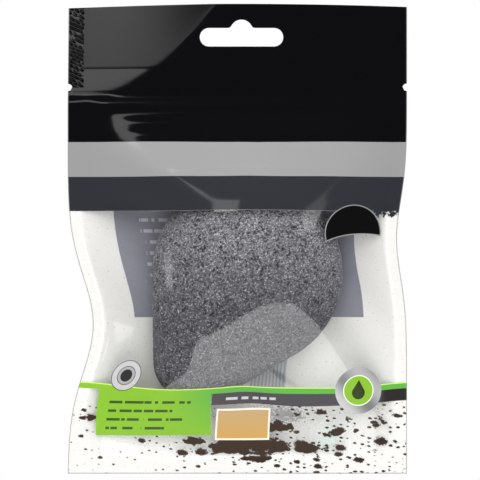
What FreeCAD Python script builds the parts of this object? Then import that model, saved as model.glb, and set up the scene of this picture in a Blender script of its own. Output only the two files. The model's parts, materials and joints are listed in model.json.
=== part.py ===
"""A teardrop konjac sponge in its hanging pouch: two plastic films, welded at the edges, with a
tear-off header, a euro hang slot and a press-to-close zip.

Millimetres. +Z is up, +X is to the right of someone who looks at the front, and the front faces -Y.
The origin is the centre of the hang slot. The welds lie in the plane Y = 0.
"""

import FreeCAD
import Part

import math
import os

Vector = FreeCAD.Vector

# Pouch: it is sized round the sponge, with this room between the sponge and the welds and zip
room_left = 26.3
room_right = 18.5
room_above = 23.7
room_below = 17.6
slot_to_top_edge = 12.8
slot_to_centreline = 1.6
top_edge_crown = 1.2
film = 0.2

# Welds
header_weld_height = 25.0
side_weld_width = 6.0
bottom_weld_height = 8.0

# Tear line and its notches
tear_below_weld = 7.0
tear_gap = 0.2
notch_depth = 1.7
notch_height = 2.9

# Euro hang slot
slot_width = 32.0
slot_height = 7.1
slot_bump_radius = 4.3
slot_bump_rise = 3.2
slot_bump_fillet = 1.2

# The contents draw the sides of the pouch in, more on the left and lower down than on the right
left_waist_depth = 9.6
left_waist_below_sponge_centre = 20.1
left_waist_spread = 26.0
right_waist_depth = 3.8
right_waist_above_sponge_centre = 12.9
right_waist_spread = 20.7

# Zip: a grooved strip on the front film and a ribbed strip on the back film
zip_below_tear = 10.4
zip_tape_above = 4.0
zip_tape_below = 8.0
zip_tape_thickness = 0.25
zip_clear_of_weld = 9.0
zip_rib_head_width = 0.9
zip_rib_head_depth = 0.45
zip_rib_neck_width = 0.4
zip_rib_neck_depth = 0.4
zip_lip_wall = 0.4
zip_lip_depth = 0.25
zip_clearance = 0.06
zip_film_clearance = 0.1
zip_guide_rib_width = 0.4
zip_guide_rib_height = 0.35
zip_guide_rib_offset = 2.6

# Sponge: a large round end and a small round end, joined by tangents, with a domed front and back
sponge_round_radius = 36.6
sponge_tip_radius = 17.2
sponge_tip_left = 16.7
sponge_tip_below = 34.5
sponge_front_dome = 19.0
sponge_back_dome = 12.0
sponge_dome_power = 2.1
sponge_crown_angle = 78.0
sponge_sections = 15
sponge_film_clearance = 0.4

# Films: how far they stay bulged before they fall to the welds
bulge_power = 3.0
lip_edge_run = 6.0
lip_foot_run = 30.0
film_columns = 21
film_rows = 25
header_film_rows = 5

# Sizes and places worked out from those above
sponge_width = sponge_round_radius + max(sponge_round_radius, sponge_tip_left + sponge_tip_radius)
sponge_height = sponge_round_radius + max(sponge_round_radius, sponge_tip_below + sponge_tip_radius)
header_height = header_weld_height + tear_below_weld
pouch_width = 2 * side_weld_width + room_left + sponge_width + room_right
pouch_height = header_height + zip_below_tear + room_above + sponge_height + room_below + bottom_weld_height
left_edge = -slot_to_centreline - pouch_width / 2
right_edge = left_edge + pouch_width
top_edge = slot_to_top_edge
bottom_edge = top_edge - pouch_height
tear_line = top_edge - header_height
header_weld_foot = top_edge - header_weld_height
bottom_weld_top = bottom_edge + bottom_weld_height
zip_line = tear_line - zip_below_tear
sponge_centre = (
    right_edge - side_weld_width - room_right - sponge_round_radius,
    zip_line - room_above - sponge_round_radius,
)
sponge_tip = (sponge_centre[0] - sponge_tip_left, sponge_centre[1] - sponge_tip_below)
zip_half_thickness = zip_tape_thickness + (zip_rib_neck_depth + zip_rib_head_depth + zip_clearance) / 2
lip_depth = zip_half_thickness + zip_film_clearance
left_waist_height = sponge_centre[1] - left_waist_below_sponge_centre
right_waist_height = sponge_centre[1] + right_waist_above_sponge_centre


def smooth_step(share):
    """0 below 0, 1 above 1, and a smooth rise between."""
    share = min(1.0, max(0.0, share))
    return share * share * (3 - 2 * share)


def waist(z, depth, height, spread):
    """How far a side of the pouch is drawn in at height z."""
    return depth * math.exp(-(((z - height) / spread) ** 2))


def left_side(z, inset=0.0):
    """The left edge of the pouch at height z, or a line that far inside it."""
    return left_edge + inset + waist(z, left_waist_depth, left_waist_height, left_waist_spread)


def right_side(z, inset=0.0):
    """The right edge of the pouch at height z, or a line that far inside it."""
    return right_edge - inset - waist(z, right_waist_depth, right_waist_height, right_waist_spread)


def bulge(share):
    """1 at the crown and 0 at a weld."""
    return 1 - min(1.0, abs(share)) ** bulge_power


def film_depth(x, z, dome):
    """How far the inner face of a film lies from the plane of the welds."""
    left = left_side(z, side_weld_width)
    right = right_side(z, side_weld_width)
    from_weld = min(x - left, right - x)
    lip = lip_depth * smooth_step(from_weld / lip_edge_run)
    lip *= smooth_step((header_weld_foot - z) / (header_weld_foot - zip_line - zip_tape_above))
    lip *= smooth_step((z - bottom_weld_top) / lip_foot_run)
    centre_x, centre_z = sponge_centre
    across = (x - centre_x) / (right - centre_x if x > centre_x else centre_x - left)
    along = (z - centre_z) / (zip_line - centre_z if z > centre_z else centre_z - bottom_weld_top)
    crown = dome + sponge_film_clearance - lip_depth
    return lip + crown * bulge(across) * bulge(along)


def heights(z_low, z_high, rows):
    """Evenly spaced heights from one to another."""
    return [z_low + (z_high - z_low) * row / (rows - 1) for row in range(rows)]


def film_line(z, dome, side, offset):
    """Points across one face of a film at height z, from the left weld to the right one."""
    left = left_side(z, side_weld_width)
    right = right_side(z, side_weld_width)
    points = []
    for column in range(film_columns):
        x = left + (right - left) * column / (film_columns - 1)
        points.append(Vector(x, side * (film_depth(x, z, dome) + offset), z))
    return points


def film_solid(z_low, z_high, rows, dome, side):
    """A film of even thickness from one height to another. side is -1 for the front and 1 for the back."""
    sections = []
    for z in heights(z_low, z_high, rows):
        inner = film_line(z, dome, side, 0.0)
        outer = film_line(z, dome, side, film)
        ring = inner + outer[::-1]
        sections.append(Part.makePolygon(ring + ring[:1]))
    return Part.makeLoft(sections, True, True)


def welded_plate(edges):
    """Both films welded into one flat plate, cut to an outline in the plane of the welds."""
    face = Part.Face(Part.Wire(Part.__sortEdges__(edges)))
    face.translate(Vector(0, -film, 0))
    return face.extrude(Vector(0, 2 * film, 0))


def flat(x, z):
    """A point in the plane of the welds."""
    return Vector(x, 0, z)


def notch(x):
    """The cutter for a tear notch at one edge of the pouch."""
    cutter = Part.makeCylinder(notch_height / 2, 1, Vector(0, -0.5, 0), Vector(0, 1, 0))
    stretch = FreeCAD.Matrix()
    stretch.scale(2 * notch_depth / notch_height, 4 * film, 1)
    cutter = cutter.transformGeometry(stretch)
    cutter.translate(Vector(x, 0, tear_line))
    return cutter


def hang_slot():
    """The cutter for the euro slot: a long slot with a round bump in the middle of its top."""
    half = slot_height / 2
    reach = slot_width / 2 - half
    depth = 8 * film
    along = Vector(0, depth, 0)
    bar = Part.makeBox(2 * reach, depth, slot_height, Vector(-reach, -depth / 2, -half))
    ends = [Part.makeCylinder(half, depth, Vector(x, -depth / 2, 0), along) for x in (-reach, reach)]
    bump_centre = half + slot_bump_rise - slot_bump_radius
    bump = Part.makeCylinder(slot_bump_radius, depth, Vector(0, -depth / 2, bump_centre), along)
    cutter = bar.multiFuse(ends + [bump]).removeSplitter()
    corners = [edge for edge in cutter.Edges if is_bump_corner(edge, half)]
    return cutter.makeFillet(slot_bump_fillet, corners)


def is_bump_corner(edge, height):
    """True for the two edges where the bump leaves the top of the slot."""
    box = edge.BoundBox
    upright = box.YLength > film and box.XLength < film and box.ZLength < film
    return upright and abs(box.Center.z - height) < film and abs(box.Center.x) < slot_width / 4


def header_weld():
    """The welded header: a full-width plate with the slot, and a leg down each side to the tear line."""
    foot = tear_line + tear_gap / 2
    inner_left = left_edge + side_weld_width
    inner_right = right_edge - side_weld_width
    shoulder = top_edge - top_edge_crown
    top = Part.Arc(flat(left_edge, shoulder), flat(-slot_to_centreline, top_edge), flat(right_edge, shoulder))
    sides_and_foot = Part.makePolygon([
        flat(right_edge, shoulder),
        flat(right_edge, foot),
        flat(inner_right, foot),
        flat(inner_right, header_weld_foot),
        flat(inner_left, header_weld_foot),
        flat(inner_left, foot),
        flat(left_edge, foot),
        flat(left_edge, shoulder),
    ])
    plate = welded_plate(sides_and_foot.Edges + [top.toShape()])
    return plate.cut(hang_slot()).cut(notch(left_edge)).cut(notch(right_edge))


def header_film(side):
    """The stretch of film between the header weld and the tear line."""
    return film_solid(tear_line + tear_gap / 2, header_weld_foot, header_film_rows, 0.0, side)


def panel(side, dome):
    """A film of the pouch from the tear line to the bottom weld."""
    return film_solid(bottom_weld_top, tear_line - tear_gap / 2, film_rows, dome, side)


def side_weld(side, edge):
    """A weld down one side of the pouch, with half of its tear notch."""
    rows = heights(bottom_weld_top, tear_line - tear_gap / 2, film_rows)
    outer = [flat(side(z), z) for z in rows]
    inner = [flat(side(z, side_weld_width), z) for z in rows]
    ring = outer + inner[::-1]
    return welded_plate(Part.makePolygon(ring + ring[:1]).Edges).cut(notch(edge))


def bottom_weld():
    """The weld along the bottom of the pouch."""
    corners = []
    for z, sides in ((bottom_edge, (left_side, right_side)), (bottom_weld_top, (right_side, left_side))):
        corners += [flat(side(z), z) for side in sides]
    return welded_plate(Part.makePolygon(corners + corners[:1]).Edges)


def zip_strip(outline):
    """A zip strip: an outline of (y, z) points about the zip line, drawn along the pouch."""
    start = left_side(zip_line, side_weld_width) + zip_clear_of_weld
    end = right_side(zip_line, side_weld_width) - zip_clear_of_weld
    points = [Vector(start, y, zip_line + z) for y, z in outline]
    face = Part.Face(Part.makePolygon(points + points[:1]))
    return face.extrude(Vector(end - start, 0, 0))


def zip_rib_strip():
    """The strip on the back film, with an arrow-headed rib and two guide ribs."""
    base = zip_half_thickness
    face = base - zip_tape_thickness
    neck = face - zip_rib_neck_depth
    tip = neck - zip_rib_head_depth
    half_neck = zip_rib_neck_width / 2
    half_head = zip_rib_head_width / 2
    outline = [
        (base, -zip_tape_below),
        (base, zip_tape_above),
        (face, zip_tape_above),
        (face, half_neck),
        (neck, half_neck),
        (neck, half_head),
        (tip, half_neck),
        (tip, -half_neck),
        (neck, -half_head),
        (neck, -half_neck),
        (face, -half_neck),
        (face, -zip_tape_below),
    ]
    strip = zip_strip(outline)
    return strip.fuse([guide_rib(face, sign) for sign in (-1, 1)]).removeSplitter()


def guide_rib(face, sign):
    """A low rib that stands from the ribbed strip and steers the two strips together."""
    low = sign * zip_guide_rib_offset - zip_guide_rib_width / 2
    high = low + zip_guide_rib_width
    top = face - zip_guide_rib_height
    return zip_strip([(face, low), (face, high), (top, high), (top, low)])


def zip_groove_strip():
    """The strip on the front film, with two hooked lips that hold the rib's head."""
    base = -zip_half_thickness
    face = base + zip_tape_thickness
    catch = face + zip_clearance + zip_rib_head_depth + zip_clearance
    lip = catch + zip_lip_depth
    inside = zip_rib_head_width / 2 + zip_clearance
    outside = inside + zip_lip_wall
    mouth = zip_rib_neck_width / 2 + zip_clearance
    lips = [
        (face, outside),
        (lip, outside),
        (lip, mouth),
        (catch, mouth),
        (catch, inside),
        (face, inside),
    ]
    mirrored = [(y, -z) for y, z in reversed(lips)]
    tape = [(face, -zip_tape_below), (base, -zip_tape_below), (base, zip_tape_above), (face, zip_tape_above)]
    return zip_strip(lips + mirrored + tape)


def sponge_outline(share, y):
    """The sponge's outline at one depth, shrunk about the centre of its round end."""
    round_radius = sponge_round_radius * share
    tip_radius = sponge_tip_radius * share
    centre = Vector(sponge_centre[0], y, sponge_centre[1])
    tip = centre + Vector(sponge_tip[0] - sponge_centre[0], 0, sponge_tip[1] - sponge_centre[1]) * share
    axis = math.atan2(tip.z - centre.z, tip.x - centre.x)
    opening = math.acos((round_radius - tip_radius) / tip.distanceToPoint(centre))

    def on(middle, radius, angle):
        return middle + Vector(math.cos(angle), 0, math.sin(angle)) * radius

    far = axis + math.pi
    spread = (math.pi - opening) / 2
    first = on(centre, round_radius, axis + opening)
    last = on(centre, round_radius, axis - opening)
    back = on(centre, round_radius, far)
    tip_first = on(tip, tip_radius, axis - opening)
    tip_last = on(tip, tip_radius, axis + opening)
    tip_end = on(tip, tip_radius, axis)
    edges = [
        Part.Arc(first, on(centre, round_radius, axis + opening + spread), back),
        Part.Arc(back, on(centre, round_radius, axis - opening - spread), last),
        Part.LineSegment(last, tip_first),
        Part.Arc(tip_first, tip_end, tip_last),
        Part.LineSegment(tip_last, first),
    ]
    return Part.Wire([edge.toShape() for edge in edges])


def sponge():
    """A teardrop with a domed front and a shallower domed back, lofted through outlines along Y."""
    power = 2 / sponge_dome_power
    sections = []
    for index in range(sponge_sections):
        angle = math.radians(sponge_crown_angle) * (2 * index / (sponge_sections - 1) - 1)
        dome = sponge_front_dome if angle < 0 else sponge_back_dome
        depth = math.copysign(dome * abs(math.sin(angle)) ** power, angle)
        sections.append(sponge_outline(math.cos(angle) ** power, depth))
    return Part.makeLoft(sections, True, True)


def main():
    os.makedirs("parts", exist_ok=True)
    pieces = {
        "header_weld": header_weld(),
        "header_front_film": header_film(-1),
        "header_back_film": header_film(1),
        "front_panel": panel(-1, sponge_front_dome),
        "back_panel": panel(1, sponge_back_dome),
        "left_side_weld": side_weld(left_side, left_edge),
        "right_side_weld": side_weld(right_side, right_edge),
        "bottom_weld": bottom_weld(),
        "zip_groove_strip": zip_groove_strip(),
        "zip_rib_strip": zip_rib_strip(),
        "sponge": sponge(),
    }
    for name, shape in pieces.items():
        shape.exportStep(f"parts/{name}.step")
        print(name, shape.ShapeType, shape.isValid(), len(shape.Solids), round(shape.Volume, 1))


main()
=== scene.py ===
"""Looks of a teardrop konjac sponge in its hanging film pouch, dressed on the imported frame.

The frame's own axes: +Z up the pouch, +X to the right, and the front faces -Y. Sizes here are in
millimetres, and MM turns them into Blender's metres. The print is laid out on the flat film, whose
place is kept in each film's UV map.
"""

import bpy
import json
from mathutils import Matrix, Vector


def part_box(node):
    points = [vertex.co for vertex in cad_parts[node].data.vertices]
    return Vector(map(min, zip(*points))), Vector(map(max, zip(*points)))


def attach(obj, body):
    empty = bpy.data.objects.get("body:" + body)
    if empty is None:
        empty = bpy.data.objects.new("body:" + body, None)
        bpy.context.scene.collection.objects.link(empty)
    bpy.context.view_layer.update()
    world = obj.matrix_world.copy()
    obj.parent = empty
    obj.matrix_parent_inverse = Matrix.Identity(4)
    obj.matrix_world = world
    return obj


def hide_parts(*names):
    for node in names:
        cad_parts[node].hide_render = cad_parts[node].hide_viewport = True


bl_info = {
    "name": "Konjac Sponge Pouch",
    "version": (1, 0, 0),
    "blender": (4, 5, 0),
    "location": "3D View > Sidebar > Pouch",
    "description": "Dresses a konjac sponge and its printed film pouch on a fixed frame",
    "category": "Object",
}

import json
import math
from types import SimpleNamespace

import bmesh
import bpy
import numpy as np
from bpy.props import FloatProperty, FloatVectorProperty, PointerProperty
from mathutils import Vector

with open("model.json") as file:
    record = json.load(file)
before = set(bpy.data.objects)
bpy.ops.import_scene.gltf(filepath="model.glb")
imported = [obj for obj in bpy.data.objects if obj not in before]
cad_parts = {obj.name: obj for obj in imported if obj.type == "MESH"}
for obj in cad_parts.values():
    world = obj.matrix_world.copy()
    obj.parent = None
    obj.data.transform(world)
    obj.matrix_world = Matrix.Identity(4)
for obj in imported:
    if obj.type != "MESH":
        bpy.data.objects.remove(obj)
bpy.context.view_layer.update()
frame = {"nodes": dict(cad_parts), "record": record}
MM = 0.001


def node_box(node):
    """A CAD node's lowest and highest corners in millimetres."""
    low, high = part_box(node)
    return np.array(low) / MM, np.array(high) / MM


def slide_reach(name):
    """How far a sliding joint goes, in millimetres."""
    joints = frame["record"]["behaviour"]["joints"]
    return next(joint["range_m"][1] for joint in joints if joint["name"] == name) / MM


HEADER_LOW, HEADER_HIGH = node_box("header_weld")
LEFT, RIGHT, TOP = HEADER_LOW[0], HEADER_HIGH[0], HEADER_HIGH[2]
TEAR = (HEADER_LOW[2] + node_box("left_side_weld")[1][2]) / 2
WELD_FOOT = node_box("header_front_film")[1][2]
BOTTOM, BOTTOM_WELD_TOP = (corner[2] for corner in node_box("bottom_weld"))
SIDE_WELD = node_box("front_panel")[0][0] - LEFT
ZIP_LOW, ZIP_HIGH = node_box("zip_groove_strip")
ZIP_LEFT, ZIP_RIGHT = ZIP_LOW[0], ZIP_HIGH[0]
ZIP_FOOT, ZIP_TOP = ZIP_LOW[2], ZIP_HIGH[2]
ZIP_DEPTH = -ZIP_LOW[1]
ZIP_LINE = ZIP_TOP - (ZIP_TOP - ZIP_FOOT) / 3
LIP_TOP = (TEAR + ZIP_TOP) / 2
SPONGE_LOW, SPONGE_HIGH = node_box("sponge")
SPONGE_TRAVEL = slide_reach("sponge_shift")


def linear(share):
    """A screen brightness from 0 to 1 in the linear value that shaders take."""
    if share <= 0.04045:
        return share / 12.92
    return ((share + 0.055) / 1.055) ** 2.4


def ink(red, green, blue):
    """A printed colour, given as 0 to 255 on a screen, for a shader."""
    return tuple(linear(part / 255) for part in (red, green, blue))


def size(name, default, description):
    """A length property, with its default given in millimetres."""
    return FloatProperty(name=name, default=default * MM, description=description, unit="LENGTH", precision=5)


def colour(name, default, description):
    """A colour property."""
    return FloatVectorProperty(name=name, default=default, description=description, subtype="COLOR",
                               size=3, min=0.0, max=1.0)


class PouchSizes(bpy.types.PropertyGroup):
    """Sizes of the films and the sponge that a user may change."""

    film: size("Film", 0.08, "Thickness of one film")
    left_waist_depth: size("Left waist", 9.6, "How far the contents draw the left side in")
    left_waist_height: size("Left waist height", -110.0, "Height of the left waist")
    left_waist_spread: size("Left waist spread", 26.0, "Reach of the left waist along the side")
    right_waist_depth: size("Right waist", 3.8, "How far the contents draw the right side in")
    right_waist_height: size("Right waist height", -77.0, "Height of the right waist")
    right_waist_spread: size("Right waist spread", 20.7, "Reach of the right waist along the side")
    top_crown: size("Top crown", 1.2, "How far the top edge rises in its middle")
    notch_depth: size("Notch depth", 1.7, "Depth of the tear notches")
    notch_height: size("Notch height", 2.9, "Height of the tear notches")
    slot_width: size("Slot width", 32.0, "Width of the hang slot")
    slot_height: size("Slot height", 7.1, "Height of the hang slot")
    slot_bump_radius: size("Slot bump", 4.3, "Radius of the bump on the hang slot")
    slot_bump_rise: size("Slot bump rise", 3.2, "How far the bump stands above the hang slot")
    knurl_pitch: size("Knurl pitch", 1.2, "Pitch of the diamond knurl of the header weld")
    knurl_depth: size("Knurl depth", 0.09, "Depth of the diamond knurl")
    header_curl: size("Header curl", 7.8, "How far the header's top left corner bends back")
    round_radius: size("Round end", 36.6, "Radius of the sponge's round end")
    tip_radius: size("Tip", 17.2, "Radius of the sponge's tip")
    pore: size("Pore", 0.95, "Size of the sponge's larger pores")
    pore_depth: size("Pore depth", 0.7, "Depth of the sponge's larger pores")


class PouchColours(bpy.types.PropertyGroup):
    """Printed colours and materials that a user may change."""

    black: colour("Black", ink(7, 7, 9), "Black of the header")
    silver: colour("Silver", ink(159, 158, 159), "Metallic grey band")
    slate: colour("Slate", ink(44, 46, 51), "Dark band above the window")
    green: colour("Green", ink(131, 182, 54), "Green stripe and panel")
    deep_green: colour("Deep green", ink(96, 170, 72), "Shaded end of the green panel")
    charcoal: colour("Charcoal", ink(78, 75, 79), "Grey band below the window")
    orange: colour("Orange", ink(200, 157, 88), "Square tag")
    powder: colour("Powder", ink(59, 46, 38), "Printed charcoal powder")
    navy: colour("Navy", ink(149, 149, 161), "Panel on the back film")
    white: colour("White", ink(252, 252, 249), "Back film")
    sponge: colour("Sponge", ink(94, 94, 100), "Dry charcoal sponge")


def sizes():
    """The film and sponge sizes of this scene, in millimetres."""
    group = bpy.context.scene.pouch_sizes
    return SimpleNamespace(**{name: getattr(group, name) / MM for name in PouchSizes.__annotations__})


def colours():
    """The colours of this scene."""
    return bpy.context.scene.pouch_colours


def set_all(thing, **values):
    """Set several properties of one thing."""
    for name, value in values.items():
        setattr(thing, name, value)


# Node maths


class Value:
    """A node's output socket that takes part in Python sums."""

    def __init__(self, graph, socket):
        self.graph = graph
        self.socket = socket

    def out(self, name):
        """Another output of the same node."""
        return Value(self.graph, self.socket.node.outputs[name])

    def __add__(self, other):
        return self.graph.math("ADD", self, other)

    def __sub__(self, other):
        return self.graph.math("SUBTRACT", self, other)

    def __rsub__(self, other):
        return self.graph.math("SUBTRACT", other, self)

    def __mul__(self, other):
        return self.graph.math("MULTIPLY", self, other)

    def __truediv__(self, other):
        return self.graph.math("DIVIDE", self, other)

    def __rtruediv__(self, other):
        return self.graph.math("DIVIDE", other, self)

    def __pow__(self, other):
        return self.graph.math("POWER", self, other)

    __radd__ = __add__
    __rmul__ = __mul__


class Graph:
    """The nodes of one tree."""

    def __init__(self, tree):
        self.tree = tree
        tree.nodes.clear()

    def put(self, socket, value):
        """Link a value to a socket, or set the socket to a plain one."""
        if isinstance(value, Value):
            self.tree.links.new(value.socket, socket)
        elif socket.type == "RGBA":
            socket.default_value = (*value, 1.0)
        else:
            socket.default_value = value

    def node(self, kind, settings=None, sockets=None, out=0):
        """Add a node: its settings first, then its sockets by name or number. Returns one output."""
        node = self.tree.nodes.new(kind)
        set_all(node, **(settings or {}))
        for key, value in (sockets or {}).items():
            self.put(node.inputs[key], value)
        return Value(self, node.outputs[out]) if node.outputs else None

    def math(self, operation, *values, clamp=False):
        """A sum of up to three numbers."""
        settings = {"operation": operation, "use_clamp": clamp}
        return self.node("ShaderNodeMath", settings, dict(enumerate(values)))

    def above(self, value, edge, soft=0.12):
        """1 where value is over edge, 0 below it, with a soft step."""
        return self.math("MULTIPLY_ADD", value - edge, 1 / soft, 0.5, clamp=True)

    def below(self, value, edge, soft=0.12):
        """1 where value is under edge, 0 above it, with a soft step."""
        return self.math("MULTIPLY_ADD", value - edge, -1 / soft, 0.5, clamp=True)

    def between(self, value, low, high, soft=0.12):
        """1 where value lies from low to high, with soft steps."""
        return self.above(value, low, soft) * self.below(value, high, soft)

    def least(self, first, second):
        """The lower of two numbers."""
        return self.math("MINIMUM", first, second)

    def most(self, first, second):
        """The higher of two numbers."""
        return self.math("MAXIMUM", first, second)

    def ramp(self, value, span, ends=(0.0, 1.0), kind="LINEAR"):
        """A number that goes from one end to the other while value crosses a span."""
        sockets = dict(enumerate((value, *span, *ends)))
        return self.node("ShaderNodeMapRange", {"interpolation_type": kind}, sockets)

    def grey(self, level):
        """A grey of a given level."""
        return self.node("ShaderNodeCombineColor", None, {0: level, 1: level, 2: level})

    def mix(self, share, first, second):
        """A colour between two others."""
        return self.node("ShaderNodeMix", {"data_type": "RGBA"}, {0: share, 6: first, 7: second}, out=2)

    def noise(self, place, scale, detail=2.0, rough=0.5):
        """Clouds from 0 to 1."""
        sockets = {"Vector": place, "Scale": scale, "Detail": detail, "Roughness": rough}
        return self.node("ShaderNodeTexNoise", None, sockets)

    def cells(self, place, scale, dimensions="3D"):
        """Distance to the nearest of a scatter of points. The point's own colour is another output."""
        settings = {"voronoi_dimensions": dimensions}
        return self.node("ShaderNodeTexVoronoi", settings, {"Vector": place, "Scale": scale})

    def place(self, x, y, z=0.0):
        """A vector from its parts."""
        return self.node("ShaderNodeCombineXYZ", None, {0: x, 1: y, 2: z})

    def parts(self, vector):
        """A vector's X, with its Y and Z as other outputs."""
        return self.node("ShaderNodeSeparateXYZ", None, {0: vector})

    def vector(self, operation, first, second):
        """A sum of two vectors."""
        return self.node("ShaderNodeVectorMath", {"operation": operation}, {0: first, 1: second})


class Look(Graph):
    """A material and its nodes."""

    def __init__(self, name):
        self.material = bpy.data.materials.new(name)
        self.material.use_nodes = True
        super().__init__(self.material.node_tree)

    def on_object(self):
        """A point's place on its piece, in metres."""
        return self.node("ShaderNodeTexCoord", out="Object")

    def shade(self, **sockets):
        """A Principled shader with these sockets, written with _ for spaces."""
        named = {key.replace("_", " "): value for key, value in sockets.items()}
        return self.node("ShaderNodeBsdfPrincipled", None, named)

    def blend(self, share, first, second):
        """A shader between two others."""
        return self.node("ShaderNodeMixShader", None, {0: share, 1: first, 2: second})

    def finish(self, shader):
        """Show a shader on the surface. Returns the material."""
        self.node("ShaderNodeOutputMaterial", None, {"Surface": shader})
        return self.material


# The films' print, in millimetres on the flat film

FLAT_MAP = "flat"
UV_SPAN = 100.0
RIM = 0.3
BLACK_FOOT = -40.2
SILVER_FOOT = -53.5
SLATE_FOOT = -66.6
WINDOW_MIDDLE = -100.0
STRIPE_LEVEL = -134.3
STRIPE = 2.3
STRIPE_WAVE = 65.0
POWDER_TOP = -138.5
# Heaps of powder: centre, spread across and up, and how thick
POWDER = (((2.0, -156.5), (20.0, 4.6), 1.0), ((14.0, -149.5), (7.0, 3.0), 0.9),
          ((-18.0, -154.5), (9.0, 2.0), 0.85), ((26.0, -157.5), (9.0, 2.6), 0.9),
          ((6.0, -161.5), (16.0, 2.0), 0.75), ((34.0, -151.5), (6.0, 2.0), 0.7),
          ((52.0, -147.5), (6.0, 2.2), 0.7), ((-59.0, -145.5), (4.0, 3.0), 0.62))
TINT = ((33.0, -153.5), (5.0, 5.5))
SMUDGE = ((16.0, -144.5), (10.0, 4.0))
PANEL_LEFT, PANEL_RIGHT, PANEL_FOOT = -56.4, -11.9, -152.4
PANEL_SLANT = 0.1
BAND_LEFT, BAND_DROP = -13.0, -6.9
TAG = (-10.5, 10.4, -154.3, -142.3)
TAG_BORDER = 0.7
LEFT_BADGE = (-49.0, -129.4)
LEFT_BADGE_RADIUS = 5.9
# The left badge's rings: share of its radius, and grey
LEFT_BADGE_RINGS = ((1.0, 78), (0.95, 189), (0.62, 78), (0.57, 164), (0.4, 50))
RIGHT_BADGE = (44.3, -135.2)
RIGHT_BADGE_RADII = (9.0, 5.95, 5.55)
DROP_RADIUS = 2.5
DROP_POINT = 5.0
DROP_SINK = 0.9
PLAQUE = (45.8, -75.4)
PLAQUE_RADIUS = 11.2
PLAQUE_EDGE = 0.35
PLAQUE_TURN = 6
BACK_PANEL = (-50.0, 47.0, -107.4, -58.0)
# Rows of plain bars: span across, levels of the first and last row, count and thickness
PANEL_BARS = ((-53.0, -21.0), (-139.6, -149.6), 4, 1.0)
BAND_BARS = ((-8.5, 12.0), (-138.4, -138.4), 1, 1.0)
BACK_BARS = (((-40.0, -12.0), (-70.0, -104.0), 9, 1.3), ((8.0, 41.5), (-70.0, -104.0), 9, 1.3))
BACK_BLOCK = (1.3, 15.5, -140.0, -124.0)


class Print:
    """The flat film's print: a colour, how much ink covers the film, and how metallic the ink is."""

    def __init__(self, look):
        self.look = look
        flat = look.parts(look.node("ShaderNodeUVMap", {"uv_map": FLAT_MAP}))
        self.x = flat * UV_SPAN
        self.z = flat.out("Y") * UV_SPAN
        self.place = look.place(self.x, self.z)
        self.colour = ink(239, 239, 237)
        self.cover = 0.0
        self.metal = 0.0

    def lay(self, mask, colour, metal=0.0):
        """Print a colour where mask is 1, over what is there."""
        self.colour = self.look.mix(mask, self.colour, colour)
        self.cover = self.cover * (1 - mask) + mask
        self.metal = self.metal * (1 - mask) + mask * metal

    def lay_edge_shade(self):
        """Paint a thin grey line of shade along the cut edges, where the film's edge looks grey."""
        look = self.look
        inside = look.least(look.least(self.x - LEFT, RIGHT - self.x), self.z - BOTTOM)
        self.lay(look.below(inside, RIM, 0.2) * 0.6, ink(137, 137, 138))

    def box(self, low_x, high_x, low_z, high_z):
        """1 inside an upright rectangle."""
        look = self.look
        return look.between(self.x, low_x, high_x) * look.between(self.z, low_z, high_z)

    def distance(self, centre):
        """Distance in the film from a centre."""
        dx = self.x - centre[0]
        dz = self.z - centre[1]
        return self.look.math("SQRT", dx * dx + dz * dz)

    def disc(self, centre, radius):
        """1 inside a circle."""
        return self.look.below(self.distance(centre), radius)

    def cloud(self, centre, spread):
        """A soft patch that is 1 in its middle and fades out over a spread across and up."""
        dx = (self.x - centre[0]) / spread[0]
        dz = (self.z - centre[1]) / spread[1]
        return self.look.math("EXPONENT", (dx * dx + dz * dz) * -1.0)

    def turned(self, centre, degrees):
        """Coordinates about a centre, along and across a direction."""
        turn = math.radians(degrees)
        dx = self.x - centre[0]
        dz = self.z - centre[1]
        along = dx * math.cos(turn) + dz * math.sin(turn)
        side = dz * math.cos(turn) - dx * math.sin(turn)
        return along, side


def text_bars(print_, across, down, count, thick):
    """Plain dashes of uneven length in rows, where lines of small print go."""
    look = print_.look
    low, high = across
    bars = 0.0
    for row, level in enumerate(np.linspace(*down, count)):
        end = high - (high - low) * 0.34 * (row * 0.618 % 1)
        gaps = look.noise(look.place(print_.x * 0.5, row * 3.7 + 1.3), 1.0, 0.0)
        bar = print_.box(low, end, level - thick / 2, level + thick / 2)
        bars = look.most(bars, bar * look.above(gaps, 0.4, 0.03))
    return bars


def flecks(print_, pitch, share, largest):
    """Scattered flecks, longer across than up: a share of the places, one to a pitch, has one."""
    look = print_.look
    ragged = (look.noise(print_.place, 0.9, 5.0, 0.75) - 0.5) * 2.2
    place = look.place(print_.x * (0.55 / pitch), (print_.z + print_.x * 0.1) / pitch)
    scatter = look.cells(place, 1.0, "2D")
    luck = look.node("ShaderNodeSeparateColor", None, {0: scatter.out("Color")})
    radius = (luck - 1.0 + share) * (largest / pitch)
    return look.below(scatter + ragged * radius, radius, 0.05)


def lay_powder(print_):
    """Powder in clods, crumbs and dust, thick under the tag and thin towards the left, on a faint tint."""
    look = print_.look
    reach = look.above(print_.x, -10.0, 60.0) * 0.3
    for centre, spread, share in POWDER:
        reach = look.most(reach, print_.cloud(centre, spread) * share)
    print_.lay(print_.cloud(*TINT) * 0.45, ink(187, 229, 215))
    grit = look.noise(print_.place, 0.8, 5.0, 0.75) + print_.cloud(*SMUDGE) * 0.3
    print_.lay(look.above(grit, 0.68, 0.12) * 0.8, ink(102, 100, 102))
    long = look.place(print_.x * 0.6, print_.z + print_.x * 0.12, 3.0)
    heap = look.above(look.noise(long, 0.3, 5.0, 0.62) + reach * 0.48, 0.78, 0.02)
    thick = reach * 0.5 + 0.3
    crumbs = flecks(print_, 4.2, thick, 3.2)
    dust = flecks(print_, 1.5, thick, 1.0)
    grains = look.most(heap, look.most(crumbs, dust))
    print_.lay(grains * look.below(print_.z, POWDER_TOP), colours().powder)


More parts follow.
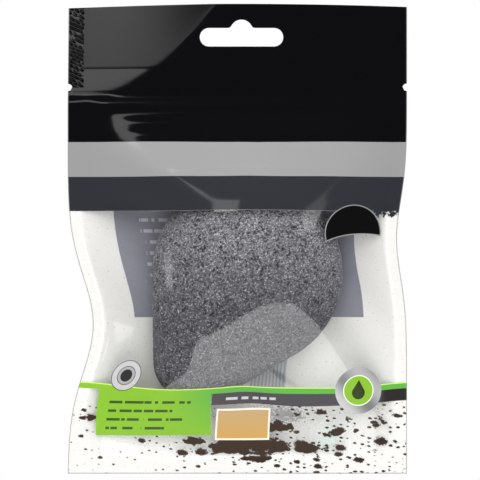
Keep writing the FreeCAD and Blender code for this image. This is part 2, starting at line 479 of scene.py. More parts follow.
def lay_bands(print_):
    """The bands at the top, the lowest one with a dusty right end."""
    look = print_.look
    tone = colours()
    frayed = look.noise(print_.place, 0.55, 4.0, 0.7)
    ragged = look.above(print_.x, 50.0, 8.0) * (frayed - 0.42) * 14.0
    print_.lay(look.above(print_.z + ragged, SLATE_FOOT), tone.slate)
    print_.lay(look.above(print_.z, SILVER_FOOT), tone.silver, metal=0.2)
    print_.lay(look.above(print_.z, BLACK_FOOT), tone.black)


def lay_window_foot(print_):
    """The stripe, panel and band at the foot of the window, with plain bars on them."""
    look = print_.look
    tone = colours()
    x, z = print_.x, print_.z
    wave = look.math("COSINE", x * (2 * math.pi / STRIPE_WAVE)) * 0.6
    level = z - STRIPE_LEVEL - wave - x * x * 0.0004
    shaded = look.above(x, -20.0, 18.0) * look.above(z, -146.0, 14.0)
    green = look.mix(shaded, tone.green, tone.deep_green)
    band = look.mix(look.above(x, 53.5, 3.0), tone.charcoal, ink(46, 43, 42))
    print_.lay(look.above(x, BAND_LEFT) * look.between(level, BAND_DROP, 0.0), band)
    panel = look.between(x + (z + 152.0) * PANEL_SLANT, PANEL_LEFT, PANEL_RIGHT)
    print_.lay(panel * look.above(z, PANEL_FOOT) * look.below(level, 0.0), green)
    print_.lay(look.between(level, -STRIPE, 0.0), green)
    print_.lay(look.between(level, -0.35, 0.0), ink(205, 236, 114))
    print_.lay(text_bars(print_, *PANEL_BARS), ink(61, 88, 41))
    print_.lay(text_bars(print_, *BAND_BARS), ink(196, 194, 198))


def lay_tag(print_):
    """A square tag with a pale border."""
    look = print_.look
    left, right, foot, top = TAG
    print_.lay(print_.box(*TAG), ink(241, 231, 215))
    field = print_.box(left + TAG_BORDER, right - TAG_BORDER, foot + TAG_BORDER, top - TAG_BORDER)
    lift = look.above(print_.z, -147.5, 12.0)
    print_.lay(field, look.mix(lift, colours().orange, ink(187, 160, 121)))


def lay_badges(print_):
    """Two round badges: grey rings on the left, and on the right a silver ring round a drop on green."""
    look = print_.look
    for share, grey in LEFT_BADGE_RINGS:
        print_.lay(print_.disc(LEFT_BADGE, LEFT_BADGE_RADIUS * share), ink(grey, grey, grey))
    ring, rim, field = RIGHT_BADGE_RADII
    sweep = look.math("SINE", (print_.x + print_.z) * 0.32) * 0.5 + 0.5
    silver = look.mix(sweep, ink(205, 205, 206), ink(135, 135, 137))
    print_.lay(print_.disc(RIGHT_BADGE, ring), silver, metal=0.4)
    print_.lay(print_.disc(RIGHT_BADGE, rim), ink(231, 242, 215))
    print_.lay(print_.disc(RIGHT_BADGE, field), colours().green)
    centre = (RIGHT_BADGE[0], RIGHT_BADGE[1] - DROP_SINK)
    up, side = print_.turned(centre, 90)
    taper = look.below(look.math("ABSOLUTE", side) - (DROP_POINT - up) * 0.58, 0.0)
    point = taper * look.between(up, 1.0, DROP_POINT)
    print_.lay(look.most(print_.disc(centre, DROP_RADIUS), point), ink(54, 65, 34))


def lay_plaque(print_):
    """A black half-round plaque with a thin silver edge, hollowed a little along its foot."""
    look = print_.look
    rounded = PLAQUE_RADIUS - print_.distance(PLAQUE)
    along, side = print_.turned(PLAQUE, PLAQUE_TURN)
    share = along / PLAQUE_RADIUS
    foot = side + 1.9 - (1 - share * share) * 1.6
    depth = look.least(rounded, foot)
    print_.lay(look.above(depth, 0.0), ink(164, 164, 166), metal=0.4)
    print_.lay(look.above(depth, PLAQUE_EDGE), ink(10, 10, 10))


def printed_film(name):
    """The front film: clear, with printed bands, panels and powder."""
    look = Look(name)
    print_ = Print(look)
    for lay in (lay_powder, lay_bands, lay_window_foot, lay_tag, lay_badges, lay_plaque):
        lay(print_)
    # painted shade: a thin grey line along the film's cut edges
    print_.lay_edge_shade()
    gloss = look.above(print_.z, WINDOW_MIDDLE, 4.0) * 0.75 + 0.25
    inked = look.shade(Base_Color=print_.colour, Metallic=print_.metal, Roughness=0.35,
                       Specular_IOR_Level=0.0, Coat_Weight=gloss, Coat_Roughness=0.09)
    bare = look.node("ShaderNodeBsdfTransparent", None, {"Color": (1.0, 1.0, 1.0)})
    mirror = look.node("ShaderNodeBsdfGlossy", None, {"Color": (1.0, 1.0, 1.0), "Roughness": 0.07})
    facing = look.node("ShaderNodeLayerWeight", None, {"Blend": 0.5}, "Facing")
    window = look.blend(facing ** 5.0 * 0.8 + 0.062, bare, mirror)
    return look.finish(look.blend(print_.cover, window, inked))


def back_film(name):
    """The back film: white, with a navy panel of plain bars and a block of plain stripes."""
    look = Look(name)
    tone = colours()
    print_ = Print(look)
    print_.colour = look.mix(look.noise(print_.place, 0.03), tone.white, ink(247, 245, 241))
    print_.lay(look.above(print_.z, BLACK_FOOT), tone.black)
    panel = print_.box(*BACK_PANEL)
    print_.lay(panel, tone.navy)
    for bars in BACK_BARS:
        print_.lay(text_bars(print_, *bars) * panel, ink(213, 213, 220))
    wave = look.math("SINE", print_.x * 4.4) * 0.5 + 0.5
    block = print_.box(*BACK_BLOCK)
    print_.lay(block, ink(200, 205, 210))
    print_.lay(look.above(wave, 0.55, 0.5) * block, ink(155, 161, 175))
    # painted shade: a thin grey line along the film's cut edges
    print_.lay_edge_shade()
    return look.finish(look.shade(Base_Color=print_.colour, Roughness=0.35, Coat_Weight=0.6,
                                  Coat_Roughness=0.1))


def header_back_film(name):
    """The back of the header: plain black gloss."""
    look = Look(name)
    black = look.mix(look.noise(Print(look).place, 0.05), colours().black, ink(41, 41, 46))
    return look.finish(look.shade(Base_Color=black, Roughness=0.3, Specular_IOR_Level=0.0,
                                  Coat_Weight=1.0, Coat_Roughness=0.05))


def sponge_foam(name):
    """Charcoal sponge: grey walls, pores darkened by painted shade, pale specks as painted highlights, and
    paler towards its top by painted light from above.
    """
    look = Look(name)
    where = look.on_object()
    pore = look.node("ShaderNodeAttribute", {"attribute_name": PORE}, None, "Fac")
    # painted light: the sponge's colour grows paler towards its top, standing in for light falling from above
    painted_top_light = look.above(look.parts(where).out("Z"), -0.082, 0.05)
    fine = look.noise(where, 1900.0, 3.0, 0.65)
    patches = look.above(look.noise(where, 45.0, 3.0), 0.5, 0.5)
    wall = look.mix(painted_top_light * 0.65, colours().sponge, ink(164, 164, 170))
    # painted shade: the pores are darkened in colour as well as sunk, for the shade inside them
    dark = look.mix(pore, wall, ink(28, 28, 30))
    # painted highlights: pale specks stand in for lit ridges between the pores, with more of them towards the
    # top
    pale = look.above(fine + painted_top_light * 0.07, 0.62, 0.16) * (1 - pore)
    lit = look.mix(pale, dark, ink(231, 231, 237))
    base = look.mix(patches * 0.3, lit, ink(88, 88, 93))
    bump = look.node("ShaderNodeBump", None, {"Strength": 0.9, "Distance": 0.0003, "Height": fine})
    return look.finish(look.shade(Base_Color=base, Roughness=0.92, Normal=bump))


def zip_plastic(name):
    """Milky extruded plastic."""
    look = Look(name)
    milky = look.mix(look.noise(look.on_object(), 120.0), ink(213, 215, 219), ink(232, 234, 236))
    return look.finish(look.shade(Base_Color=milky, Roughness=0.3, Alpha=0.8))


def pale_floor(name):
    """A pale floor that the camera, mirrors and glass see as white."""
    look = Look(name)
    pale = look.mix(look.noise(look.on_object(), 3.0), (0.9, 0.9, 0.9), (0.94, 0.94, 0.94))
    path = look.node("ShaderNodeLightPath", out="Is Camera Ray")
    seen = look.most(look.most(path, path.out("Is Glossy Ray")), path.out("Is Transmission Ray"))
    lit = look.shade(Base_Color=pale, Roughness=0.8)
    white = look.node("ShaderNodeEmission", None, {"Color": (1.0, 1.0, 1.0), "Strength": 1.03})
    return look.finish(look.blend(seen * 0.92, lit, white))


# The films' shapes

FILM_STEP = 1.6
HEADER_STEP = 0.3
# Room between a film and the pouch's middle plane, and between a film and the zip
FILM_ROOM = 0.1
ZIP_ROOM = 0.15
SIDE_LIP = 9.0
FOOT_LIP = 30.0
CREASE_FOOT = -28.0
CREASE_START = -72.0
CREASE_BOW = 0.0105
CREASE_SOFT = 1.5
WELD_FADE = 1.5
STRIP_FADE = 0.4
STRIP_DEPTH = 1.6
GRAIN_SEED = 7
GRAIN_WAVES = 9
SLOT_FILLET = 1.3
# Ridges that the zip presses into the front film: level and height
ZIP_RIDGES = ((-26.9, 0.16), (-29.0, 0.2), (-32.0, 0.2), (-36.6, 0.12), (-50.4, 0.1))
RIDGE_WIDTH = 0.7
RIDGE_FADE = 25.0


def smooth_step(share):
    """An even rise from 0 to 1 while share goes from 0 to 1."""
    share = np.clip(share, 0.0, 1.0)
    return share * share * (3 - 2 * share)


def waist(z, depth, height, spread):
    """How far a side is drawn in at a level."""
    return depth * np.exp(-(((z - height) / spread) ** 2))


def left_side(z):
    """The left edge of the filled pouch."""
    s = sizes()
    return LEFT + waist(z, s.left_waist_depth, s.left_waist_height, s.left_waist_spread)


def right_side(z):
    """The right edge of the filled pouch."""
    s = sizes()
    return RIGHT - waist(z, s.right_waist_depth, s.right_waist_height, s.right_waist_spread)


def flat_grid(top, foot, step):
    """Evenly spaced points of the flat film, as rows from the top down."""
    columns = round((RIGHT - LEFT) / step) + 1
    rows = round((top - foot) / step) + 1
    across, down = np.meshgrid(np.linspace(LEFT, RIGHT, columns), np.linspace(top, foot, rows))
    return np.stack([across, down], axis=-1)


def drawn_in(flat):
    """How far across the pouch each point of the flat film lies once the contents draw the sides in."""
    across, down = flat[..., 0], flat[..., 1]
    left, right = left_side(down), right_side(down)
    inner_left, inner_right = LEFT + SIDE_WELD, RIGHT - SIDE_WELD
    share = (across - inner_left) / (inner_right - inner_left)
    middle = left + SIDE_WELD + share * (right - left - 2 * SIDE_WELD)
    outside = np.where(across < inner_left, left + across - LEFT, right + across - RIGHT)
    return np.where((across < inner_left) | (across > inner_right), outside, middle)


def sponge_centre():
    """The centre of the sponge's round end, across and up."""
    radius = sizes().round_radius
    return SPONGE_HIGH[0] - radius, SPONGE_HIGH[2] - radius


def pillow(across, down, dome):
    """A first shape for a film: bulged over the sponge, and just clear of the zip above it."""
    left, right = left_side(down) + SIDE_WELD, right_side(down) - SIDE_WELD
    lip = smooth_step(np.minimum(across - left, right - across) / SIDE_LIP)
    lip = lip * smooth_step((LIP_TOP - down) / (LIP_TOP - ZIP_TOP))
    lip = lip * smooth_step((down - BOTTOM_WELD_TOP) / FOOT_LIP) * (ZIP_DEPTH + ZIP_ROOM)
    centre_x, centre_z = sponge_centre()
    sideways = np.where(across > centre_x, right - centre_x, centre_x - left)
    upwards = np.where(down > centre_z, ZIP_LINE - centre_z, centre_z - BOTTOM_WELD_TOP)
    bulge = 1 - np.minimum(np.abs((across - centre_x) / sideways), 1.0) ** 2
    bulge = bulge * (1 - np.minimum(np.abs((down - centre_z) / upwards), 1.0) ** 2)
    return lip + bulge * (dome - ZIP_DEPTH)


def corner_curl(across, up):
    """How far the top left corner bends back, above a soft crease that rises to the right."""
    beyond = up - CREASE_FOOT - CREASE_BOW * (across - CREASE_START) ** 2
    slope = sizes().header_curl / (TOP - CREASE_FOOT)
    bend = slope * (beyond + np.hypot(beyond, CREASE_SOFT)) / 2
    return bend * smooth_step((up - ZIP_TOP) / (LIP_TOP - ZIP_TOP))


def grain(across, up):
    """Irregular short ridges that run down to the right, from 0 to 1."""
    random = np.random.default_rng(GRAIN_SEED)
    angles = random.uniform(0.4, 1.3, GRAIN_WAVES)
    lengths = random.uniform(1.0, 1.9, GRAIN_WAVES)
    phases = random.uniform(0, 6.3, GRAIN_WAVES)
    ridges = np.zeros_like(across)
    for angle, length, phase in zip(angles, lengths, phases):
        along = across * math.cos(angle) + up * math.sin(angle)
        ridges += np.sin(2 * math.pi * along / length + phase)
    return np.clip(ridges / 3, 0.0, 1.0)


def zip_ridges(flat):
    """How far the zip presses the front film out."""
    across, up = flat[..., 0], flat[..., 1]
    along = smooth_step(np.minimum(across - ZIP_LEFT, ZIP_RIGHT - across) / RIDGE_FADE)
    return along * sum(height * np.exp(-(((up - level) / RIDGE_WIDTH) ** 2)) for level, height in ZIP_RIDGES)


def finer(grid):
    """The grid with a point added between each two, on a smooth curve through its neighbours."""
    for axis in (0, 1):
        grid = np.moveaxis(grid, axis, 0)
        padded = np.concatenate([2 * grid[:1] - grid[1:2], grid, 2 * grid[-1:] - grid[-2:-1]])
        out = np.empty((2 * len(grid) - 1, *grid.shape[1:]))
        out[0::2] = grid
        out[1::2] = (9 * (padded[1:-2] + padded[2:-1]) - padded[:-3] - padded[3:]) / 16
        grid = np.moveaxis(out, 0, axis)
    return grid


def slot_gap(flat):
    """Distance outside the hang slot, which is a long slot with a bump in the middle of its top."""
    s = sizes()
    half = s.slot_height / 2
    across, up = flat[..., 0], flat[..., 1]
    reach = s.slot_width / 2 - half
    bar = np.hypot(across - np.clip(across, -reach, reach), up) - half
    bump_level = half + s.slot_bump_rise - s.slot_bump_radius
    bump = np.hypot(across, up - bump_level) - s.slot_bump_radius
    blend = np.maximum(SLOT_FILLET - np.abs(bar - bump), 0.0) / SLOT_FILLET
    return np.minimum(bar, bump) - blend * blend * SLOT_FILLET / 4


def notch_gap(flat):
    """Distance outside the tear notches at the two edges."""
    s = sizes()
    half = s.notch_height / 2
    gaps = []
    for edge in (LEFT, RIGHT):
        across = (flat[..., 0] - edge) / s.notch_depth
        up = (flat[..., 1] - TEAR) / half
        gaps.append((np.hypot(across, up) - 1) * half)
    return np.minimum(*gaps)


def header_gap(flat):
    """Distance outside the hang slot and the tear notches."""
    return np.minimum(slot_gap(flat), notch_gap(flat))


def quads(rows, columns):
    """The faces of a grid whose points run along its rows."""
    first = (np.arange(rows - 1)[:, None] * columns + np.arange(columns - 1)).ravel()
    return np.column_stack([first, first + columns, first + columns + 1, first + 1])


def trim(points, flat, gap):
    """Move the points just inside a cut-out to its edge, and say which faces of the grid are left."""
    outside = gap(flat)
    nudges = np.array([[0.01, 0.0], [0.0, 0.01]])
    slope = np.stack([gap(flat + nudge) - gap(flat - nudge) for nudge in nudges], axis=-1)
    slope /= np.maximum(np.linalg.norm(slope, axis=-1, keepdims=True), 1e-9)
    kept = (outside.ravel()[quads(*flat.shape[:2])] > 0).any(axis=1)
    move = np.where(outside < 0, -outside, 0.0)[..., None] * slope
    points[..., 0] += move[..., 0]
    points[..., 2] += move[..., 1]
    return flat + move, kept


def new_object(name, mesh):
    """An object of the scene with a given mesh."""
    piece = bpy.data.objects.new(name, mesh)
    bpy.context.scene.collection.objects.link(piece)
    return piece


def film_piece(name, points, flat, kept, side, material):
    """A film from a grid of points, with its flat place as UV, sharp cut edges and a real thickness."""
    faces = quads(*flat.shape[:2])[kept]
    if side > 0:
        faces = faces[:, ::-1]
    used, index = np.unique(faces, return_inverse=True)
    mesh = bpy.data.meshes.new(name)
    mesh.from_pydata((points.reshape(-1, 3)[used] * MM).tolist(), [], index.reshape(faces.shape).tolist())
    uv = mesh.uv_layers.new(name=FLAT_MAP)
    uv.data.foreach_set("uv", (flat.reshape(-1, 2)[faces.ravel()] / UV_SPAN).ravel())
    mesh.shade_smooth()
    edge_of_corner = np.empty(len(mesh.loops), dtype=np.int32)
    mesh.loops.foreach_get("edge_index", edge_of_corner)
    for number in np.flatnonzero(np.bincount(edge_of_corner) == 1):
        mesh.edges[number].use_edge_sharp = True
    mesh.materials.append(material)
    piece = new_object(name, mesh)
    wall = piece.modifiers.new("film", "SOLIDIFY")
    set_all(wall, thickness=sizes().film * MM, offset=-1.0)
    return piece


# The sponge's shape

RING_LEVELS = 41
RING_POINTS = 96
RING_LAST_ANGLE = 88
CROWN_SHARE = 1.02
CROWN_POWER = 2 / 2.1
TIP_ROOM = (0.4, 0.9)
VOXEL = 0.42
PORE = "pore"
PORE_WARP = 0.9
PORE_FINENESS = 2.1


def sponge_ring(share):
    """The sponge's outline, shrunk about its round end's centre: (x, z) points anticlockwise."""
    s = sizes()
    centre = np.array(sponge_centre())
    tip = np.array([SPONGE_LOW[0], SPONGE_LOW[2]]) + s.tip_radius + np.array(TIP_ROOM)
    axis = tip - centre
    along = math.atan2(axis[1], axis[0])
    opening = math.acos((s.round_radius - s.tip_radius) / np.linalg.norm(axis))
    big_count = RING_POINTS * 3 // 4
    big = np.linspace(along + opening, along + 2 * math.pi - opening, big_count)
    small = np.linspace(along - opening, along + opening, RING_POINTS - big_count)
    arcs = ((centre, s.round_radius, big), (tip, s.tip_radius, small))
    ring = [middle + radius * np.column_stack([np.cos(turn), np.sin(turn)]) for middle, radius, turn in arcs]
    return centre + share * (np.concatenate(ring) - centre)


def sponge_rings(grow=0.0):
    """Rings of the sponge's smooth form from its front crown to its back one."""
    front, back = -SPONGE_LOW[1] * CROWN_SHARE, SPONGE_HIGH[1] * CROWN_SHARE
    wider = 1 + grow / sizes().round_radius
    rings = []
    for angle in np.radians(np.linspace(-RING_LAST_ANGLE, RING_LAST_ANGLE, RING_LEVELS)):
        depth = (front if angle < 0 else back) + grow
        y = math.copysign(depth * abs(math.sin(angle)) ** CROWN_POWER, angle)
        ring = sponge_ring(math.cos(angle) ** CROWN_POWER * wider)
        rings.append(np.column_stack([ring[:, 0], np.full(RING_POINTS, y), ring[:, 1]]))
    return np.array(rings)


def sponge_form():
    """The sponge's smooth form, closed at both crowns."""
    faces = []
    for low in range(0, (RING_LEVELS - 1) * RING_POINTS, RING_POINTS):
        high = low + RING_POINTS
        for index in range(RING_POINTS):
            after = (index + 1) % RING_POINTS
            faces.append((low + index, low + after, high + after, high + index))
    crown = np.arange(RING_POINTS)
    faces.append(crown[::-1].tolist())
    faces.append((crown + (RING_LEVELS - 1) * RING_POINTS).tolist())
    mesh = bpy.data.meshes.new("sponge_form")
    mesh.from_pydata((sponge_rings().reshape(-1, 3) * MM).tolist(), [], faces)
    return new_object("sponge_form", mesh)


def pore_tree():
    """Geometry nodes that sink pores of two sizes into a surface and keep how deep each point lies.

    Returns the tree and its inputs' identifiers.
    """
    tree = bpy.data.node_groups.new("sponge_pores", "GeometryNodeTree")
    sockets = (("Geometry", "NodeSocketGeometry"), ("Pore Size", "NodeSocketFloat"),
               ("Pore Depth", "NodeSocketFloat"), ("Material", "NodeSocketMaterial"))
    inputs = {}
    for name, kind in sockets:
        inputs[name] = tree.interface.new_socket(name, in_out="INPUT", socket_type=kind).identifier
    tree.interface.new_socket("Geometry", in_out="OUTPUT", socket_type="NodeSocketGeometry")
    graph = Graph(tree)
    start = graph.node("NodeGroupInput", out="Geometry")
    place = graph.node("GeometryNodeInputPosition")
    warp = graph.vector("MULTIPLY", graph.noise(place, 420.0).out("Color"), (PORE_WARP * MM,) * 3)
    moved = graph.vector("ADD", place, warp)
    scale = 1.0 / start.out("Pore Size")
    large = graph.cells(moved, scale)
    small = graph.cells(moved, scale * PORE_FINENESS)
    uneven = graph.math("MULTIPLY_ADD", graph.noise(place, 300.0), 0.6, 0.3)
    deep = graph.ramp(uneven - large, (0.0, 0.42), kind="SMOOTHSTEP")
    shallow = graph.ramp(0.55 - small, (0.0, 0.4), kind="SMOOTHSTEP")
    pore = graph.most(deep, shallow * 0.55)
    sink = pore * start.out("Pore Depth") * -1.0
    normal = graph.node("GeometryNodeInputNormal")
    offset = graph.node("ShaderNodeVectorMath", {"operation": "SCALE"}, {0: normal, "Scale": sink})
    named = {"Geometry": start, "Name": PORE, "Value": pore}
    kept = graph.node("GeometryNodeStoreNamedAttribute", None, named)
    sunk = graph.node("GeometryNodeSetPosition", None, {"Geometry": kept, "Offset": offset})
    real = graph.node("GeometryNodeRealizeInstances", None, {"Geometry": sunk})
    foam = {"Geometry": real, "Material": start.out("Material")}
    dressed = graph.node("GeometryNodeSetMaterial", None, foam)
    graph.node("NodeGroupOutput", None, {"Geometry": dressed})
    return tree, inputs


# Settling the films round the sponge

SIM_SCALE = 20.0
SIM_FRAMES = 50
SIM_GROW = 0.35
SIM_TOUCH = 0.008
SIM_PRESSURE = 0.3
SIM_SLACK = 1.008
EVENING_ROUNDS = 10
SIM_FILM = {"quality": 6, "mass": 0.15, "air_damping": 8.0, "tension_stiffness": 40.0,
            "compression_stiffness": 30.0, "shear_stiffness": 20.0, "bending_stiffness": 8.0}


def collider_mesh():
    """The sponge over its whole travel, at the simulation's scale."""
    rings = sponge_rings(SIM_GROW)
    lifted = rings + np.array([0.0, 0.0, SPONGE_TRAVEL])
    points = np.concatenate([rings.reshape(-1, 3), lifted.reshape(-1, 3)]) * MM * SIM_SCALE
    shape = bmesh.new()
    bmesh.ops.convex_hull(shape, input=[shape.verts.new(point) for point in points])
    inside = [vert for vert in shape.verts if not vert.link_faces]
    bmesh.ops.delete(shape, geom=inside, context="VERTS")
    bmesh.ops.recalc_face_normals(shape, faces=shape.faces)
    mesh = bpy.data.meshes.new("swept_sponge")
    shape.to_mesh(mesh)
    shape.free()
    return mesh


def settle(name, start, rest, pinned, side):
    """Let a film shrink onto the sponge from its first shape, held where it is welded."""
    rows, columns = start.shape[:2]
    mesh = bpy.data.meshes.new(name)
    mesh.from_pydata((start.reshape(-1, 3) * MM * SIM_SCALE).tolist(), [], quads(rows, columns).tolist())
    film = new_object(name, mesh)
    film.shape_key_add(name="first shape")
    cut = film.shape_key_add(name="flat cut")
    cut.data.foreach_set("co", (rest.reshape(-1, 3) * MM * SIM_SCALE).ravel())
    welds = film.vertex_groups.new(name="welds")
    welds.add(np.flatnonzero(pinned.ravel()).tolist(), 1.0, "REPLACE")
    body = new_object(name + "_body", collider_mesh())
    body.modifiers.new("touch", "COLLISION")
    set_all(body.collision, thickness_outer=SIM_TOUCH, damping=0.9, cloth_friction=4.0)
    cloth = film.modifiers.new("cloth", "CLOTH")
    set_all(cloth.settings, **SIM_FILM, vertex_group_mass=welds.name, rest_shape_key=cut,
            use_pressure=True, uniform_pressure_force=side * SIM_PRESSURE)
    cloth.settings.effector_weights.gravity = 0.0
    set_all(cloth.collision_settings, distance_min=SIM_TOUCH, collision_quality=3)
    scene = bpy.context.scene
    for number in range(1, SIM_FRAMES + 1):
        scene.frame_set(number)
    settled = film.evaluated_get(bpy.context.evaluated_depsgraph_get()).to_mesh()
    points = np.empty(len(settled.vertices) * 3)
    settled.vertices.foreach_get("co", points)
    for thing in (film, body):
        data = thing.data
        bpy.data.objects.remove(thing)
        bpy.data.meshes.remove(data)
    scene.frame_set(1)
    if not np.isfinite(points).all():
        raise RuntimeError("The film did not settle")
    return points.reshape(rows, columns, 3) / MM / SIM_SCALE


def evened(depth, free):
    """Even out a film's depth where it is free, a little each round."""
    for _ in range(EVENING_ROUNDS):
        around = sum(np.roll(depth, step, axis) for step in (1, -1) for axis in (0, 1)) / 4
        depth = np.where(free, (depth + around) / 2, depth)
    return depth


def pouch_film(side, dome):
    """One film of the pouch: its points and their place on the flat film."""
    flat = flat_grid(TEAR, BOTTOM, FILM_STEP)
    across, down = drawn_in(flat), flat[..., 1]
    points = np.stack([across, side * (pillow(across, down, dome) + FILM_ROOM), down], axis=-1)
    rest = np.stack([flat[..., 0], np.zeros_like(down), TEAR + (down - TEAR) * SIM_SLACK], axis=-1)
    inner = (flat[..., 0] > LEFT + SIDE_WELD) & (flat[..., 0] < RIGHT - SIDE_WELD)
    free = inner & (down < ZIP_LINE) & (down > BOTTOM_WELD_TOP)
    points = settle("settling_film", points, rest, ~free, side)
    least = pillow(across, down, ZIP_DEPTH) + FILM_ROOM
    points[..., 1] = side * np.maximum(side * evened(points[..., 1], free), least)
    points[..., 1] += corner_curl(across, down)
    points, flat = finer(points), finer(flat)
    if side < 0:
        points[..., 1] -= zip_ridges(flat)
    return points, flat


def header_film(side):
    """One film of the header: its points and their place on the flat film."""
    s = sizes()
    flat = flat_grid(TOP, TEAR, HEADER_STEP)
    across, down = flat[..., 0], flat[..., 1]
    middle = (LEFT + RIGHT) / 2
    edge_drop = s.top_crown * ((across - middle) / (RIGHT - middle)) ** 2
    height = down - edge_drop * (down - TEAR) / (TOP - TEAR)
    knurl = np.abs(np.sin(math.pi * (across + down) / s.knurl_pitch))
    knurl = knurl * np.abs(np.sin(math.pi * (across - down) / s.knurl_pitch))
    weld = smooth_step((down - WELD_FOOT) / WELD_FADE)
    strip = smooth_step((LEFT + SIDE_WELD - across) / STRIP_FADE)
    emboss = s.knurl_depth * (knurl * weld * (1 - strip) + STRIP_DEPTH * grain(across, down) * strip)
    depth = side * (pillow(across, down, 0.0) + FILM_ROOM) + corner_curl(across, height)
    points = np.stack([across, depth - emboss, height], axis=-1)
    return points, np.stack([across, height], axis=-1)


# The pieces

DOME_ROOM = 0.8


class POUCH_OT_films(bpy.types.Operator):
    """Films of the pouch: the printed front with its clear window, and the white back"""

    bl_idname = "pouch.films"
    bl_label = "Films"

    def execute(self, context):
        front = printed_film("printed front film")
        back = back_film("white back film")
        front_nodes = ("front_panel", "left_side_weld", "right_side_weld", "bottom_weld")
        films = (("pouch_front", -1, -SPONGE_LOW[1], front, "front_film", front_nodes),
                 ("pouch_back", 1, SPONGE_HIGH[1], back, "back_film", ("back_panel",)))
        for name, side, crown, material, slot, nodes in films:
            points, flat = pouch_film(side, crown + DOME_ROOM)
            flat, kept = trim(points, flat, notch_gap)
            piece = film_piece(name, points, flat, kept, side, material)
            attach(piece, "pouch")
            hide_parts(*nodes)
        return {"FINISHED"}


class POUCH_OT_header(bpy.types.Operator):
    """Header above the tear line: both films, welded and knurled, with the hang slot"""

    bl_idname = "pouch.header"
    bl_label = "Header"

    def execute(self, context):
        front = printed_film("printed header film")
        back = header_back_film("black header film")
        films = (("header_front", -1, front, "header_film", ("header_weld", "header_front_film")),
                 ("header_back", 1, back, "back_film", ("header_back_film",)))
        for name, side, material, slot, nodes in films:
            points, flat = header_film(side)
            flat, kept = trim(points, flat, header_gap)
            piece = film_piece(name, points, flat, kept, side, material)
            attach(piece, "header")
            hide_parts(*nodes)
        return {"FINISHED"}


class POUCH_OT_sponge(bpy.types.Operator):
    """Teardrop sponge with open pores"""

    bl_idname = "pouch.sponge"
    bl_label = "Sponge"

    def execute(self, context):
        s = sizes()
        form = sponge_form()
        even = form.modifiers.new("even", "REMESH")
        set_all(even, mode="VOXEL", voxel_size=VOXEL * MM)
        pores = form.modifiers.new("pores", "NODES")
        pores.node_group, inputs = pore_tree()
        pores[inputs["Pore Size"]] = s.pore * MM
        pores[inputs["Pore Depth"]] = s.pore_depth * MM
        pores[inputs["Material"]] = sponge_foam("charcoal sponge")
        form.update_tag()
        body = bpy.data.meshes.new_from_object(form.evaluated_get(context.evaluated_depsgraph_get()))
        bpy.data.objects.remove(form)
        if not body.polygons:
            raise RuntimeError("The sponge has no surface")
        body.name = "sponge_body"
        body.shade_smooth()
        piece = new_object("sponge_body", body)
        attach(piece, "sponge")
        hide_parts("sponge")
        return {"FINISHED"}


class POUCH_OT_zip(bpy.types.Operator):
    """Finish of the two zip strips"""

    bl_idname = "pouch.zip"
    bl_label = "Zip"

    def execute(self, context):
        plastic = zip_plastic("milky zip plastic")
        for node in ("zip_groove_strip", "zip_rib_strip"):
            for slot in frame["nodes"][node].material_slots:
                slot.material = plastic
        return {"FINISHED"}


# The stage: pixels of the photograph's frame, and places and sizes in metres

FRAME_PIXELS = 480
SLOT_PIXEL = (241.5, 37.25)
PIXELS_PER_MM = 2.61
CAMERA_DISTANCE = 1.3
SENSOR_WIDTH = 36.0
FLOOR_LEVEL = -1.2
FLOOR_REACH = 0.5
LIGHT_AIM = (0.0, 0.0, -0.08)
# Softboxes: name, place, width, height and radiance
SOFTBOXES = (("key_softbox", (-1.15, -0.42, 0.2), 0.5, 0.8, 1.1),
             ("fill_softbox", (0.95, -0.6, 0.6), 0.7, 0.8, 1.0),
             ("top_softbox", (0.0, -0.12, 1.0), 1.1, 0.4, 3.0),
             ("low_softbox", (0.06, -0.85, -0.75), 1.12, 0.72, 1.15),
             ("side_card", (-0.236, -0.874, 0.443), 0.28, 0.17, 2.0),
             ("back_softbox", (0.2, 0.9, 0.3), 0.8, 0.8, 0.5))


def softbox(name, place, width, height, radiance):
    """An area lamp of a given size and brightness that faces the pouch."""
    lamp = bpy.data.lights.new(name, "AREA")
    set_all(lamp, shape="RECTANGLE", size=width, size_y=height, energy=radiance * width * height * math.pi)
    thing = new_object(name, lamp)
    thing.location = place
    thing.rotation_euler = (Vector(LIGHT_AIM) - Vector(place)).to_track_quat("-Z", "Y").to_euler()


def studio_world():
    """White to the camera and behind the pouch in gloss, a grey tent in other gloss, a soft dome."""
    world = bpy.data.worlds.new("studio")
    world.use_nodes = True
    graph = Graph(world.node_tree)
    path = graph.node("ShaderNodeLightPath", out="Is Camera Ray")
    glossy = path.out("Is Glossy Ray")
    where = graph.parts(graph.node("ShaderNodeTexCoord", out="Generated"))
    towards = where.out("Y") * -1.0
    behind = graph.math("GREATER_THAN", where.out("Y"), 0.2)
    seen = graph.most(path, path.out("Is Transmission Ray"))
    white = graph.most(seen, glossy * behind)
    tent = graph.ramp(towards, (0.0, 0.35), (0.8, 0.05))
    overhead = graph.ramp(where.out("Z"), (-1.0, 1.0), (0.6, 1.34))
    ahead = graph.ramp(towards, (-0.6, 0.6), (0.74, 1.12))
    dim = graph.mix(glossy, graph.grey(overhead * ahead), graph.grey(tent))
    tone = graph.mix(white, dim, (1.0, 1.0, 1.0))
    sky = graph.node("ShaderNodeBackground", None, {"Color": tone, "Strength": 1.0})
    graph.node("ShaderNodeOutputWorld", None, {"Surface": sky})
    bpy.context.scene.world = world


def floor_piece():
    """A square floor, well below the pouch."""
    square = np.array([(-1, -1), (1, -1), (1, 1), (-1, 1)]) * FLOOR_REACH
    corners = [(x, y, FLOOR_LEVEL) for x, y in square.tolist()]
    mesh = bpy.data.meshes.new("floor")
    mesh.from_pydata(corners, [], [(0, 1, 2, 3)])
    mesh.materials.append(pale_floor("pale floor"))
    return new_object("floor", mesh)


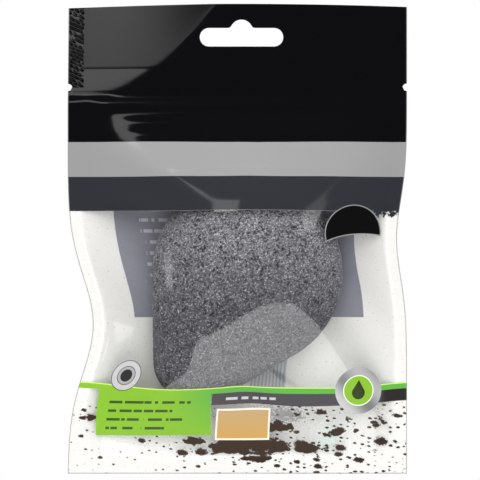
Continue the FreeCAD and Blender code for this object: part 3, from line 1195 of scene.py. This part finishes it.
def front_camera():
    """A camera straight in front, that puts the hang slot on its pixel."""
    centre = FRAME_PIXELS / 2
    x = (centre - SLOT_PIXEL[0]) / PIXELS_PER_MM * MM
    z = (SLOT_PIXEL[1] - centre) / PIXELS_PER_MM * MM
    lens = SENSOR_WIDTH * CAMERA_DISTANCE / (FRAME_PIXELS / PIXELS_PER_MM * MM)
    camera = bpy.data.cameras.new("camera")
    set_all(camera, sensor_width=SENSOR_WIDTH, lens=lens, clip_start=0.05)
    eye = new_object("camera", camera)
    eye.location = (x, -CAMERA_DISTANCE, z)
    eye.rotation_euler = (math.pi / 2, 0.0, 0.0)
    return eye


class POUCH_OT_stage(bpy.types.Operator):
    """Floor, light and camera"""

    bl_idname = "pouch.stage"
    bl_label = "Stage"

    def execute(self, context):
        context.scene.view_settings.view_transform = "Standard"
        studio_world()
        floor_piece()
        context.scene.camera = front_camera()
        for box in SOFTBOXES:
            softbox(*box)
        return {"FINISHED"}


OPERATORS = (POUCH_OT_stage, POUCH_OT_films, POUCH_OT_header, POUCH_OT_sponge, POUCH_OT_zip)


class POUCH_PT_panel(bpy.types.Panel):
    """Lists the steps that dress the pouch, with its sizes and colours"""

    bl_idname = "POUCH_PT_panel"
    bl_label = "Konjac sponge pouch"
    bl_space_type = "VIEW_3D"
    bl_region_type = "UI"
    bl_category = "Pouch"

    def draw(self, context):
        for operator in OPERATORS:
            self.layout.operator(operator.bl_idname)
        for name in PouchSizes.__annotations__:
            self.layout.prop(context.scene.pouch_sizes, name)
        for name in PouchColours.__annotations__:
            self.layout.prop(context.scene.pouch_colours, name)


CLASSES = (PouchSizes, PouchColours, *OPERATORS, POUCH_PT_panel)


def register():
    for item in CLASSES:
        bpy.utils.register_class(item)
    bpy.types.Scene.pouch_sizes = PointerProperty(type=PouchSizes)
    bpy.types.Scene.pouch_colours = PointerProperty(type=PouchColours)


def unregister():
    del bpy.types.Scene.pouch_colours
    del bpy.types.Scene.pouch_sizes
    for item in reversed(CLASSES):
        bpy.utils.unregister_class(item)


def main():
    register()
    bpy.ops.pouch.stage()
    bpy.ops.pouch.films()
    bpy.ops.pouch.header()
    bpy.ops.pouch.sponge()
    bpy.ops.pouch.zip()


if __name__ == "__main__":
    main()
